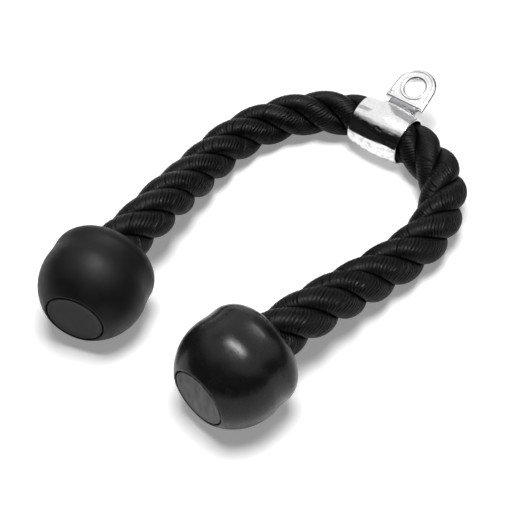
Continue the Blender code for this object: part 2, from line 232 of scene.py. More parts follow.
def arc(centre: Point, radii: Point, start_deg: float, end_deg: float, count: int) -> list[Point]:
    """Points on an ellipse's arc, both ends among them.

    Args:
        centre: the ellipse's middle.
        radii: its two half widths.
        start_deg: where the arc starts, in degrees.
        end_deg: where it ends.
        count: how many steps it has.

    Returns:
        The points in order.
    """
    (x, y), (wide, tall) = centre, radii
    turns = [math.radians(start_deg + (end_deg - start_deg) * i / count) for i in range(count + 1)]
    return [(x + wide * math.cos(turn), y + tall * math.sin(turn)) for turn in turns]


def weave(
    grid: np.ndarray,
    wrap_rows: bool = False,
    wrap_columns: bool = False,
    layer: str = "",
    values: np.ndarray | None = None,
) -> bmesh.types.BMesh:
    """Puts faces between the neighbouring points of a grid.

    Args:
        grid: the points, by row, column and axis.
        wrap_rows: whether the last row joins the first.
        wrap_columns: whether the last column joins the first.
        layer: the name of an attribute that the points keep.
        values: the attribute's numbers or vectors, by row and column.

    Returns:
        The edited mesh.
    """
    rows, columns = grid.shape[:2]
    bm = bmesh.new()
    if values is not None:
        layers = bm.verts.layers
        kept = (layers.float if values.ndim == 2 else layers.float_vector).new(layer)
    verts = [[bm.verts.new(tuple(point)) for point in row] for row in grid]
    if values is not None:
        for row, numbers in zip(verts, values.tolist()):
            for vert, number in zip(row, numbers):
                vert[kept] = number
    for i in range(rows if wrap_rows else rows - 1):
        near, far = verts[i], verts[(i + 1) % rows]
        for j in range(columns if wrap_columns else columns - 1):
            k = (j + 1) % columns
            bm.faces.new((near[j], near[k], far[k], far[j]))
    return bm


def closed(name: str, bm: bmesh.types.BMesh, crease_deg: float = 40.0) -> Mesh:
    """Merges doubles, fills open ends and turns an edited mesh into a smooth one.

    Args:
        name: the mesh's name.
        bm: the edited mesh, which is freed.
        crease_deg: the angle from which an edge stays sharp.

    Returns:
        The mesh, its faces pointing outwards.
    """
    bmesh.ops.remove_doubles(bm, verts=bm.verts, dist=MERGE_DISTANCE)
    edges = [edge for edge in bm.edges if edge.is_boundary]
    if edges:
        bmesh.ops.holes_fill(bm, edges=edges, sides=0)
    bmesh.ops.recalc_face_normals(bm, faces=bm.faces)
    mesh = bpy.data.meshes.new(name)
    bm.to_mesh(mesh)
    bm.free()
    mesh.shade_smooth()
    mesh.set_sharp_from_angle(angle=math.radians(crease_deg))
    return mesh


@dataclass(frozen=True)
class Dent:
    """A shallow hollow in a turned surface: its place, its half widths, its depth and its lean."""

    height: float
    turn_deg: float
    width: float
    tall: float
    depth: float
    lean: float

    def depths(self, reach: np.ndarray, height: np.ndarray, turn: np.ndarray) -> np.ndarray:
        """How far the surface goes in at each point.

        Args:
            reach: the surface's radius.
            height: the points' heights along the axis.
            turn: their angles about it.

        Returns:
            The depths.
        """
        away = (turn - math.radians(self.turn_deg) + math.pi) % TURN - math.pi
        across = away * reach
        rise = height - self.height - self.lean * across
        return self.depth * np.exp(-((across / self.width) ** 2) - (rise / self.tall) ** 2)


def turned(
    name: str,
    outline: Sequence[Point],
    steps: int,
    place: Matrix,
    dents: Sequence[Dent] = (),
    on_axis: bool = False,
) -> Mesh:
    """A mesh turned about Z from an outline of (radius, height) points, then put in its place.

    Args:
        name: the mesh's name.
        outline: the section's points, a closed ring or, with on_axis, from axis to axis.
        steps: how many facets go round.
        place: where the turned shape's own frame lies.
        dents: small hollows pressed into the outside.
        on_axis: whether the outline starts and ends on the axis.

    Returns:
        The mesh.
    """
    radius, height = np.array(outline, float).T
    turn = np.linspace(0.0, TURN, steps, endpoint=False)
    reach = np.repeat(radius[:, None], steps, axis=1)
    level = np.repeat(height[:, None], steps, axis=1)
    for dent in dents:
        reach = reach - dent.depths(reach, level, turn[None, :])
    grid = np.stack([reach * np.cos(turn), reach * np.sin(turn), level], axis=-1)
    mesh = closed(name, weave(grid, wrap_rows=not on_axis, wrap_columns=True))
    mesh.transform(place)
    return mesh


def show(name: str, mesh: Mesh, finish: Material) -> Object:
    """Puts a mesh in the scene as a piece of one material, and reports it.

    Args:
        name: the piece's name.
        mesh: its mesh, already in its place.
        finish: its material.

    Returns:
        The piece.
    """
    mesh.materials.clear()
    mesh.materials.append(finish)
    piece = add_object(name, mesh)
    log.info("piece %s: %d faces, %s", name, len(mesh.polygons), finish.name)
    return piece


# Finishes


@dataclass(frozen=True)
class Finish:
    """A Principled finish: its plain colour, its gloss and what it is made of."""

    name: str
    colour: str
    roughness: float
    metallic: float = 0.0
    shine: float = 0.5

    def pattern(self, tree: NodeTree) -> Sockets:
        """The socket for each of the shader's inputs that varies over the surface."""
        return {}

    def build(self) -> Material:
        """Makes the material, with its plain numbers and its pattern.

        Returns:
            The material.
        """
        made = bpy.data.materials.new(self.name)
        made.use_nodes = True
        inputs = made.node_tree.nodes["Principled BSDF"].inputs
        inputs["Base Color"].default_value = linear(self.colour)
        inputs["Roughness"].default_value = self.roughness
        inputs["Metallic"].default_value = self.metallic
        inputs["Specular IOR Level"].default_value = self.shine
        for name, socket in self.pattern(made.node_tree).items():
            made.node_tree.links.new(socket, inputs[name])
        return made


@dataclass(frozen=True)
class NylonYarn(Finish):
    """Multifilament nylon yarn, spun dyed black and laid into strands.

    The eye sees fine shiny filaments along each yarn and a slight difference of gloss from yarn to
    yarn. The valleys between the yarns are dull and painted darker, as painted shade.
    slight difference of gloss from yarn to yarn.
    """

    name: str = "nylon_multifilament_yarn_laid_black"
    colour: str = "#0d0d0e"
    roughness: float = 0.34
    smoothest: float = 0.26
    dullest: float = 0.48
    # Crossed filaments trap most of the light that a smooth nylon would send back.
    shine: float = 0.13
    valley: str = "#030303"
    # The heights of a yarn's back between which the painted valley shade gives way to the yarn's own colour.
    back_range: Point = (0.1, 0.8)
    # Filaments are about 0.05 mm. They are drawn at 0.35 mm, which is as fine as the render shows.
    filament_mm: float = 0.35
    filament_run_mm: float = 9.0
    filament_relief: float = 0.8
    filament_depth_mm: float = 0.3
    # How fast the gloss changes along and across a yarn, per millimetre.
    gloss_change: Place = (0.12, 0.43, 0.0)

    def pattern(self, tree: NodeTree) -> Sockets:
        """What varies over the yarns, which reads the attribute that the strands keep.

        Args:
            tree: the material's node tree.

        Returns:
            The socket for each of the shader's inputs that varies.
        """
        yarn = add_node(tree, "ShaderNodeAttribute", attribute_name="yarn").outputs["Vector"]
        back = add_node(tree, "ShaderNodeSeparateXYZ", {0: yarn}).outputs["Z"]
        fine = (1 / self.filament_run_mm, 1 / self.filament_mm, 0.0)
        run = add_node(tree, "ShaderNodeMapping", {"Vector": yarn, "Scale": fine})
        patches = add_node(tree, "ShaderNodeMapping", {"Vector": yarn, "Scale": self.gloss_change})
        filaments = noise(tree, run, patch=1.0, detail=2.0, roughness=0.6)
        gloss = noise(tree, patches, patch=1.0, detail=1.0)
        yarn_colour_share = map_range(tree, back, *self.back_range)
        return {
            # Painted shade: the valleys between the yarns take the darker colour.
            "Base Color": mix(tree, yarn_colour_share, self.valley, self.colour),
            "Roughness": map_range(tree, gloss, *NOISE_RANGE, self.smoothest, self.dullest),
            "Normal": relief(tree, filaments, self.filament_relief, self.filament_depth_mm),
        }


@dataclass(frozen=True)
class MouldedRubber(Finish):
    """Natural rubber filled with carbon black, pressed in a steel mould and left as it comes out.

    The eye sees a deep grey-black with a soft, slightly cloudy sheen and a very fine grain.
    """

    name: str = "carbon_black_rubber_moulded"
    colour: str = "#121213"
    roughness: float = 0.42
    smoothest: float = 0.40
    dullest: float = 0.58
    shine: float = 0.18
    deep: str = "#0c0c0d"
    bloomed: str = "#131314"
    cloud_mm: float = 9.0
    cloud_relief: float = 0.25
    cloud_depth_mm: float = 0.5
    # The mould's grain is about 0.1 mm. It is drawn at 0.5 mm, as fine as the render shows.
    grain_mm: float = 0.5
    grain_relief: float = 0.12
    grain_depth_mm: float = 0.1

    def pattern(self, tree: NodeTree) -> Sockets:
        """What varies over the rubber.

        Args:
            tree: the material's node tree.

        Returns:
            The socket for each of the shader's inputs that varies.
        """
        place = own_place(tree)
        cloud = noise(tree, place, self.cloud_mm * MM, detail=4.0, roughness=0.55)
        grain = noise(tree, place, self.grain_mm * MM, detail=2.0)
        waves = relief(tree, cloud, self.cloud_relief, self.cloud_depth_mm)
        return {
            "Base Color": mix(tree, cloud, self.deep, self.bloomed),
            "Roughness": map_range(tree, cloud, *NOISE_RANGE, self.smoothest, self.dullest),
            "Normal": relief(tree, grain, self.grain_relief, self.grain_depth_mm, Normal=waves),
        }


@dataclass(frozen=True)
class CapPlastic(Finish):
    """Polypropylene, injection moulded with a satin face and scuffed by the floor.

    The eye sees a flat dark grey, a shade lighter than the rubber, with faint wiping scuffs. Its
    lower part is painted lighter, as a painted reflection of the floor.
    """

    name: str = "polypropylene_injection_moulded_satin"
    colour: str = "#080809"
    roughness: float = 0.4
    smoothest: float = 0.3
    dullest: float = 0.48
    shine: float = 0.12
    # The colour of the scuffs and of the painted reflection of the floor.
    light: str = "#1c1c1d"
    scuff_mm: float = 6.0
    scuff_stretch: Place = (1.0, 1.0, 0.35)
    scuff_turn: Place = (0.0, 0.5, 0.2)
    # The values of the scuffs and the painted reflection between which the colour goes to the light one.
    scuff_range: Point = (0.34, 0.64)
    # A painted reflection of the floor makes the cap lighter from its lower edge up to about its middle.
    rub_from: float = 0.050
    rub_to: float = 0.018
    rub_least: float = -0.12
    rub_most: float = 0.10

    def pattern(self, tree: NodeTree) -> Sockets:
        """What varies over the cap.

        Args:
            tree: the material's node tree.

        Returns:
            The socket for each of the shader's inputs that varies.
        """
        place = own_place(tree)
        height = add_node(tree, "ShaderNodeSeparateXYZ", {0: place}).outputs["Z"]
        wiped = add_node(
            tree,
            "ShaderNodeMapping",
            {"Vector": place, "Scale": self.scuff_stretch, "Rotation": self.scuff_turn},
        )
        scuffs = noise(tree, wiped, self.scuff_mm * MM, detail=5.0, roughness=0.6)
        # Painted reflection: the cap grows lighter towards the floor.
        floor_reflection = map_range(tree, height, self.rub_from, self.rub_to, self.rub_least, self.rub_most)
        scuffs_and_reflection = map_range(tree, calculate(tree, "ADD", scuffs, floor_reflection), *self.scuff_range)
        return {
            "Base Color": mix(tree, scuffs_and_reflection, self.colour, self.light),
            "Roughness": map_range(tree, scuffs, *NOISE_RANGE, self.smoothest, self.dullest),
        }


@dataclass(frozen=True)
class ChromePlate(Finish):
    """Decorative chrome over nickel on steel, plated after forming and welding.

    The eye sees a bright mirror whose reflections swim a little over the formed surface, with
    duller patches. They are painted more and darker low down, as painted shade.
    """

    name: str = "chrome_plate_on_formed_steel"
    colour: str = "#eeeeee"
    roughness: float = 0.1
    metallic: float = 1.0
    swim_mm: float = 7.0
    swim_relief: float = 0.6
    swim_depth_mm: float = 0.16
    patch_mm: float = 3.0
    patch_range: Point = (0.45, 0.75)
    polish_share: float = 0.7
    dullest: float = 0.24
    # The colour of the grey haze patches, which are painted darker low down as painted shade.
    haze: str = "#6a6a6c"
    haze_mm: float = 6.0
    haze_range: Point = (0.45, 0.70)
    haze_most: float = 0.9
    # The heights between which the haze goes from its full to its least strength: it is painted stronger low
    # down, as painted shade.
    worn_below: float = 0.015
    clean_above: float = 0.030
    clean_share: float = 0.18

    def pattern(self, tree: NodeTree) -> Sockets:
        """What varies over the chrome.

        Args:
            tree: the material's node tree.

        Returns:
            The socket for each of the shader's inputs that varies.
        """
        place = own_place(tree)
        height = add_node(tree, "ShaderNodeSeparateXYZ", {0: place}).outputs["Z"]
        swim = noise(tree, place, self.swim_mm * MM, detail=1.5)
        patch = noise(tree, place, self.patch_mm * MM, detail=4.0, roughness=0.6)
        stain = noise(tree, place, self.haze_mm * MM, detail=4.0, roughness=0.7)
        least = self.haze_most * self.clean_share
        # Painted shade: the haze grows stronger towards the bottom.
        haze_and_shade_strength = map_range(tree, height, self.worn_below, self.clean_above, self.haze_most, least)
        share = map_range(tree, stain, *self.haze_range, 0.0, haze_and_shade_strength)
        polished = self.roughness * self.polish_share
        return {
            "Base Color": mix(tree, share, self.colour, self.haze),
            "Roughness": map_range(tree, patch, *self.patch_range, polished, self.dullest),
            "Normal": relief(tree, swim, self.swim_relief, self.swim_depth_mm),
        }


@dataclass(frozen=True)
class ZincPlate(Finish):
    """Steel, pressed or stamped and then barrel plated with bright zinc.

    The eye sees a soft bluish grey metal with a faint spangle.
    """

    name: str = "zinc_plate_on_pressed_steel"
    colour: str = "#a9abb0"
    roughness: float = 0.35
    smoothest: float = 0.26
    dullest: float = 0.44
    metallic: float = 1.0
    spangle_mm: float = 1.6

    def pattern(self, tree: NodeTree) -> Sockets:
        """What varies over the zinc.

        Args:
            tree: the material's node tree.

        Returns:
            The socket for each of the shader's inputs that varies.
        """
        inputs = {"Vector": own_place(tree), "Scale": 1 / (self.spangle_mm * MM)}
        cells = add_node(tree, "ShaderNodeTexVoronoi", inputs).outputs["Distance"]
        return {"Roughness": map_range(tree, cells, 0.0, 1.0, self.smoothest, self.dullest)}


# Rope


@dataclass(frozen=True)
class RopeRun:
    """Where the rope lies: the CAD's route from the sleeve's middle to each cut end.

    A row of a route is the way out from the sleeve's mouth, the way back from the sleeve's axis
    and the share of the climb from the floor to the rubber end's axis.
    """

    lying_height: float = 0.0173
    end_height: float = 0.0352
    rope_in_end: float = 0.0482
    spacing: float = 0.0015
    steps_in_sleeve: int = 14
    steps_in_end: int = 30
    left_heading_deg: float = -68.8
    right_heading_deg: float = -95.1
    left_route: tuple[Place, ...] = (
        (0.0210, 0.0082, 0.186),
        (0.0378, 0.0219, 0.135),
        (0.0504, 0.0405, 0.069),
        (0.0588, 0.0609, 0.018),
        (0.0623, 0.0827, 0.0),
        (0.0616, 0.1051, 0.02),
        (0.0584, 0.1272, 0.15),
        (0.0539, 0.1495, 0.40),
        (0.0491, 0.1714, 0.69),
        (0.0441, 0.1934, 0.88),
        (0.0379, 0.2311, 1.0),
    )
    right_route: tuple[Place, ...] = (
        (0.0227, 0.0067, 0.186),
        (0.0410, 0.0180, 0.133),
        (0.0533, 0.0360, 0.067),
        (0.0603, 0.0567, 0.017),
        (0.0623, 0.0791, 0.0),
        (0.0592, 0.1017, 0.01),
        (0.0554, 0.1240, 0.11),
        (0.0522, 0.1461, 0.36),
        (0.0493, 0.1680, 0.65),
        (0.0466, 0.1895, 0.87),
        (0.0419, 0.2218, 1.0),
    )

    def way_in(self, side: Side) -> np.ndarray:
        """The level direction in which the rope enters that side's rubber end."""
        degrees = self.left_heading_deg if side is Side.LEFT else self.right_heading_deg
        return np.array((math.cos(math.radians(degrees)), math.sin(math.radians(degrees)), 0.0))

    def mouth(self, side: Side) -> np.ndarray:
        """The middle of the sleeve's mouth on that side."""
        return np.array(SLEEVE_CENTRE) + np.array((side.value * SLEEVE_LENGTH / 2, 0.0, 0.0))

    def points(self, side: Side) -> np.ndarray:
        """One arm's centreline.

        Args:
            side: which arm.

        Returns:
            The points from the sleeve's middle to the cut end.
        """
        mouth = self.mouth(side)
        route = self.left_route if side is Side.LEFT else self.right_route
        climb = self.end_height - self.lying_height
        knots = [mouth]
        for out, back, share in route:
            height = self.lying_height + climb * share
            knots.append(np.array((mouth[0] + side.value * out, mouth[1] - back, height)))
        free = self.spline(np.array(knots), (float(side.value), 0.0, 0.0), self.way_in(side))
        end = free[-1] + self.way_in(side) * self.rope_in_end
        centre = np.array(SLEEVE_CENTRE)
        first, last = self.steps_in_sleeve, self.steps_in_end
        inside = [centre + (free[0] - centre) * i / first for i in range(first)]
        held = [free[-1] + (end - free[-1]) * i / last for i in range(1, last + 1)]
        return np.vstack([inside, free, held])

    def spline(
        self, points: np.ndarray, first: Sequence[float], last: Sequence[float]
    ) -> np.ndarray:
        """A cubic spline through the points that leaves and arrives in the given directions.

        Args:
            points: the points that it passes.
            first: the direction at the first one.
            last: the direction at the last one.

        Returns:
            Points on it, about one spacing apart.
        """
        knots = np.r_[0.0, np.cumsum(np.linalg.norm(np.diff(points, axis=0), axis=1))]
        spans = np.diff(knots)
        slopes = np.diff(points, axis=0) / spans[:, None]
        system = np.eye(len(points))
        known = np.array([first, *np.zeros((len(points) - 2, 3)), last], float)
        for i in range(1, len(points) - 1):
            system[i, i - 1 : i + 2] = spans[i], 2 * (spans[i - 1] + spans[i]), spans[i - 1]
            known[i] = 3 * (spans[i] * slopes[i - 1] + spans[i - 1] * slopes[i])
        ways = np.linalg.solve(system, known)
        at = np.linspace(0.0, knots[-1], int(knots[-1] / self.spacing) + 1)
        span = np.clip(np.searchsorted(knots, at, side="right") - 1, 0, len(spans) - 1)
        width = spans[span][:, None]
        t = (at - knots[span])[:, None] / width
        return (
            (2 * t**3 - 3 * t**2 + 1) * points[span]
            + (t**3 - 2 * t**2 + t) * width * ways[span]
            + (3 * t**2 - 2 * t**3) * points[span + 1]
            + (t**3 - t**2) * width * ways[span + 1]
        )

    def end_place(self, side: Side) -> Matrix:
        """Where a rubber end's own frame lies, its origin in the cap's face and +Z to the rope.

        Args:
            side: which end.

        Returns:
            The frame.
        """
        way = self.way_in(side)
        mouth = self.points(side)[-1] - way * self.rope_in_end
        turn = Vector(-way).to_track_quat("Z", "Y").to_matrix().to_4x4()
        return Matrix.Translation(Vector(mouth + way * END_LENGTH)) @ turn


@dataclass(frozen=True)
class LaidRope:
    """The rope itself: three strands laid to the right, each spun from yarns the other way."""

    run: RopeRun
    radius: float = 0.0169
    strand_count: int = 3
    orbit_share: float = 0.44
    strand_gap: float = 0.0005
    # Where a strand hardly leans on the next one, its lean counts as this much.
    least_lean: float = MM / 10
    lay_length: float = 0.0843
    lay_turn_deg: float = 60.0
    # How many pitches a yarn goes on in one turn about its strand.
    yarns: int = 8
    yarn_pitch: float = 0.0018
    yarn_width_mm: float = 2.3
    # How far a yarn runs for a radian about the strand.
    yarn_run_mm: float = 9.8
    yarn_relief: float = 0.00055
    # The least and the most of a yarn's relief, as shares of the mean.
    yarn_spread: Point = (0.75, 1.25)
    # Less than 1 makes a yarn's back rounder and its valley narrower.
    back_power: float = 0.8
    # More than 1 keeps the painted valley shade further up the yarn's back.
    tint_power: float = 1.5
    # The relief fades towards the rope's core, by the cosine of the angle about the strand.
    core_fade: float = 1.6
    core_cosine: float = 0.45
    rings_per_yarn: int = 4
    points_around: int = 30
    crease_deg: float = 75.0
    unevenness: float = 0.0005
    seed: int = 7
    # Where each arm starts to follow the sleeve less, and where it follows its own body alone.
    blend_starts: Mapping[Side, Place] = field(
        default_factory=lambda: {
            Side.LEFT: (-0.029, 0.1175, 0.021),
            Side.RIGHT: (0.032, 0.1179, 0.021),
        }
    )
    blend_ends: Mapping[Side, Place] = field(
        default_factory=lambda: {
            Side.LEFT: (-0.078, 0.063, 0.018),
            Side.RIGHT: (0.083, 0.064, 0.018),
        }
    )

    def straight_strand(self, name: str, length: float, first_turn: float) -> Mesh:
        """One strand as it lies round a straight rope along X, with its yarns in relief.

        Each row of the mesh follows one line of a yarn, so four rows make a yarn's round back. The
        attribute "yarn" keeps, for the finish, how far along the yarn a point is and how far
        across it, both in millimetres, and the height of the yarn's back there from 0 to 1, from
        which the finish paints shade into the valleys.

        Args:
            name: the mesh's name.
            length: the rope's length.
            first_turn: the strand's angle about the rope at X = 0.

        Returns:
            The mesh.
        """
        orbit = self.radius * self.orbit_share
        across = self.radius - orbit
        rise = TURN * orbit / self.lay_length
        slope = math.hypot(1.0, rise)
        along = across * slope
        angle = np.linspace(-math.pi, math.pi, self.points_around + 1)
        lead = self.yarns * angle * self.yarn_pitch / TURN + along * np.sin(angle) * rise / slope
        step = self.yarn_pitch / self.rings_per_yarn
        first = math.floor(lead.min() / step)
        ring = np.arange(first, math.ceil((lead.max() + length * slope) / step) + 1)
        at = np.clip((ring[:, None] * step - lead[None, :]) / slope, 0.0, length)

        half = math.pi / self.strand_count
        out, off = across * np.cos(angle), along * np.sin(angle)
        lean = np.maximum(np.abs(off) * math.cos(half) - out * math.sin(half), self.least_lean)
        press = np.minimum(1.0, (orbit * math.sin(half) - self.strand_gap / 2) / lean)
        shown = np.clip(self.core_fade * (np.cos(angle) + self.core_cosine), 0.0, 1.0)
        back = np.abs(np.sin(math.pi * ring / self.rings_per_yarn)) ** self.back_power
        count = len(ring) // self.rings_per_yarn + 2
        draw = np.random.default_rng(self.seed).uniform(*self.yarn_spread, count)
        size = draw[(ring - first) // self.rings_per_yarn]
        relief_share = (1 + (size[:, None] - 1) * shown) * shown
        sunk = -self.yarn_relief * (1 - back)[:, None] * relief_share
        reach = orbit + press * out + sunk * np.cos(angle)
        swing = press * off + sunk * np.sin(angle)
        theta = TURN * at / self.lay_length + first_turn
        sideways = -np.sin(theta) * reach - np.cos(theta) * swing
        upwards = np.cos(theta) * reach - np.sin(theta) * swing
        yarn_mm = ring[:, None] / self.rings_per_yarn * self.yarn_width_mm
        # The third column sets the painted shade in the valleys between the yarns.
        columns = (angle[None, :] * self.yarn_run_mm, yarn_mm, (back**self.tint_power)[:, None])
        values = np.stack([np.broadcast_to(column, at.shape) for column in columns], axis=-1)
        grid = np.stack([at, sideways, upwards], axis=-1)
        return closed(name, weave(grid, layer="yarn", values=values), self.crease_deg)

    def laying_tree(self) -> NodeTree:
        """The node tree that repeats a straight strand round the rope and lays it on a curve.

        Returns:
            The tree, with named inputs for its sizes.
        """
        tree = bpy.data.node_groups.new("lay_strands_on_a_route", "GeometryNodeTree")
        kinds = {
            "Straight strand": "Geometry",
            "Route": "Object",
            "Strands": "Int",
            "Unevenness": "Float",
            "Uneven patch": "Float",
            "Seed": "Float",
            "Finish": "Material",
        }
        for name, kind in kinds.items():
            tree.interface.new_socket(name, in_out="INPUT", socket_type=f"NodeSocket{kind}")
        tree.interface.new_socket("Rope", in_out="OUTPUT", socket_type="NodeSocketGeometry")
        given = add_node(tree, "NodeGroupInput").outputs

        single = add_node(tree, "GeometryNodeGeometryToInstance", {0: given["Straight strand"]})
        copies = add_node(
            tree,
            "GeometryNodeDuplicateElements",
            {"Geometry": single, "Amount": given["Strands"]},
            domain="INSTANCE",
        )
        share = calculate(tree, "DIVIDE", TURN, given["Strands"])
        turn = calculate(tree, "MULTIPLY", copies.outputs["Duplicate Index"], share)
        about = add_node(tree, "ShaderNodeCombineXYZ", {"X": turn})
        euler = add_node(tree, "FunctionNodeEulerToRotation", {0: about})
        spread = add_node(
            tree,
            "GeometryNodeRotateInstances",
            {"Instances": copies.outputs["Geometry"], "Rotation": euler},
        )
        laid = add_node(tree, "GeometryNodeRealizeInstances", {"Geometry": spread})

        route = add_node(tree, "GeometryNodeObjectInfo", {"Object": given["Route"]})
        position = add_node(tree, "GeometryNodeInputPosition")
        place = add_node(tree, "ShaderNodeSeparateXYZ", {0: position}).outputs
        sample = add_node(
            tree,
            "GeometryNodeSampleCurve",
            {"Curves": route.outputs["Geometry"], "Length": place["X"]},
            mode="LENGTH",
        )
        way = vector(tree, "NORMALIZE", sample.outputs["Tangent"])
        level = vector(tree, "CROSS_PRODUCT", (0.0, 0.0, 1.0), way)
        aside = vector(tree, "NORMALIZE", level)
        upright = vector(tree, "CROSS_PRODUCT", way, aside)
        shift_y = vector(tree, "SCALE", aside, Scale=place["Y"])
        shift_z = vector(tree, "SCALE", upright, Scale=place["Z"])
        shift = vector(tree, "ADD", shift_y, shift_z)
        target = vector(tree, "ADD", sample.outputs["Position"], shift)
        patches = calculate(tree, "DIVIDE", 1.0, given["Uneven patch"])
        uneven = add_node(
            tree,
            "ShaderNodeTexNoise",
            {"Vector": target, "W": given["Seed"], "Scale": patches, "Detail": 1.0},
            noise_dimensions="4D",
        )
        even = vector(tree, "SUBTRACT", uneven.outputs["Color"], NOISE_MEAN)
        nudge = vector(tree, "SCALE", even, Scale=given["Unevenness"])
        moved = {"Geometry": laid, "Position": target, "Offset": nudge}
        placed = add_node(tree, "GeometryNodeSetPosition", moved)
        whole = add_node(tree, "GeometryNodeRealizeInstances", {"Geometry": placed})
        dressed = add_node(
            tree, "GeometryNodeSetMaterial", {"Geometry": whole, "Material": given["Finish"]}
        )
        add_node(tree, "NodeGroupOutput", {0: dressed})
        return tree

    def lay(self, name: str, strand: Object, values: Mapping[str, Any], tree: NodeTree) -> Mesh:
        """Runs the laying tree on a straight strand.

        Args:
            name: the finished mesh's name.
            strand: the straight strand.
            values: what the tree's named inputs get.
            tree: the tree.

        Returns:
            The finished mesh.
        """
        modifier = strand.modifiers.new("lay", "NODES")
        modifier.node_group = tree
        for item in tree.interface.items_tree:
            if item.in_out == "INPUT" and item.name in values:
                modifier[item.identifier] = values[item.name]
        bpy.context.view_layer.update()
        evaluated = strand.evaluated_get(bpy.context.evaluated_depsgraph_get())
        mesh = bpy.data.meshes.new_from_object(evaluated)
        mesh.name = name
        return mesh

    def build(self, side: Side, tree: NodeTree, finish: Material) -> None:
        """Builds one arm of the rope, which bends between the sleeve and its own body.

        Args:
            side: which arm.
            tree: the tree that lays the strands.
            finish: the yarn's material.
        """
        name = f"rope_{side.word}"
        points = self.run.points(side)
        order = points[::-1] if side is Side.LEFT else points
        length = float(np.linalg.norm(np.diff(points, axis=0), axis=1).sum())
        first_turn = math.radians(self.lay_turn_deg)
        if side is Side.LEFT:
            first_turn -= TURN * length / self.lay_length

        curve = bpy.data.curves.new(f"{name}_route", "CURVE")
        curve.dimensions = "3D"
        spline = curve.splines.new("POLY")
        spline.points.add(len(order) - 1)
        for point, at in zip(spline.points, order):
            point.co = (*at, 1.0)
        route = add_object(f"{name}_route", curve)
        strand = add_object(f"{name}_strand", self.straight_strand(name, length, first_turn))
        values = {
            "Route": route,
            "Strands": self.strand_count,
            "Unevenness": self.unevenness,
            "Uneven patch": self.lay_length / self.strand_count,
            "Seed": float(self.seed + side.value),
            "Finish": finish,
        }
        mesh = self.lay(name, strand, values, tree)
        for helper in (strand, route):
            bpy.data.objects.remove(helper, do_unlink=True)

        piece = show(name, mesh, finish)
        stretches = (side.word, "centre") if side is Side.LEFT else (side.word,)
        nodes = [f"strand_{n + 1}_{part}" for part in stretches for n in range(self.strand_count)]
        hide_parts(*nodes)
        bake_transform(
            piece,
            "sleeve_body",
            f"arm_{side.word}",
            start=self.blend_starts[side],
            end=self.blend_ends[side],
        )
        tuple(self.run.mouth(side))


# Sleeve with its eye


